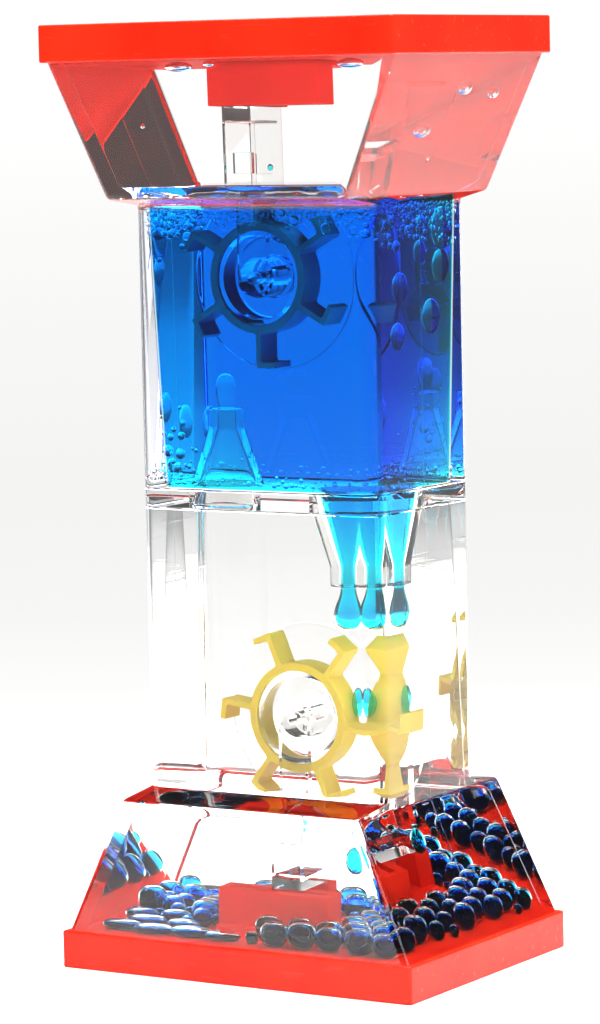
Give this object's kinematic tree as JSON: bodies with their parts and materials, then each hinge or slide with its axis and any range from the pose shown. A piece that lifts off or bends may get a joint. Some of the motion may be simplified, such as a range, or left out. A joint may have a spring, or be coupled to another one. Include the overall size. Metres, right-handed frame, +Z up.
{
  "type": "liquid motion timer",
  "caption": "Clear two-chamber liquid motion timer with red end caps; blue water drips through oil onto yellow paddle wheels.",
  "frame": {"origin": "centre of the base cap's underside, on the table", "axes": "+Z up along the column, +X along the cap's wide side, -Y out of the front of the wheels"},
  "size_m": [0.0634, 0.0486, 0.147],
  "materials": {
    "red_plastic": "glossy moulded",
    "clear_shell": "polished clear",
    "clear_inner": "clear moulded",
    "yellow_plastic": "satin moulded",
    "blue_water": "liquid",
    "clear_oil": "liquid"
  },
  "bodies": {
    "tank": {"base_cap": "red_plastic", "top_cap": "red_plastic", "lower_fork_socket": "red_plastic", "upper_fork_socket": "red_plastic", "lower_tank": "clear_shell", "upper_tank": "clear_shell", "divider_plate": "clear_shell", "down_nozzle": "clear_inner", "up_nozzle": "clear_inner", "lower_fork": "clear_inner", "upper_fork": "clear_inner", "lower_axle": "clear_inner", "upper_axle": "clear_inner", "upper_blue_water": "blue_water", "nozzle_water": "blue_water", "lower_clear_oil": "clear_oil", "upper_clear_oil": "clear_oil", "rising_oil_drop": "clear_oil", "falling_water_drop": "blue_water", "settled_water_drops": "blue_water"},
    "lower_wheel": {"lower_wheel_hub": "clear_inner", "lower_paddle_ring": "yellow_plastic", "paddle_water_drop": "blue_water"},
    "upper_wheel": {"upper_wheel_hub": "clear_inner", "upper_paddle_ring": "yellow_plastic"}
  },
  "joints": [
    {"name": "lower_wheel_spin", "type": "hinge", "parent": "tank", "child": "lower_wheel", "pos_m": [0.00295, 0, 0.0395], "axis": [0, 1, 0], "continuous": true},
    {"name": "upper_wheel_spin", "type": "hinge", "parent": "tank", "child": "upper_wheel", "pos_m": [-0.00295, 0, 0.1075], "axis": [0, 1, 0], "continuous": true}
  ]
}
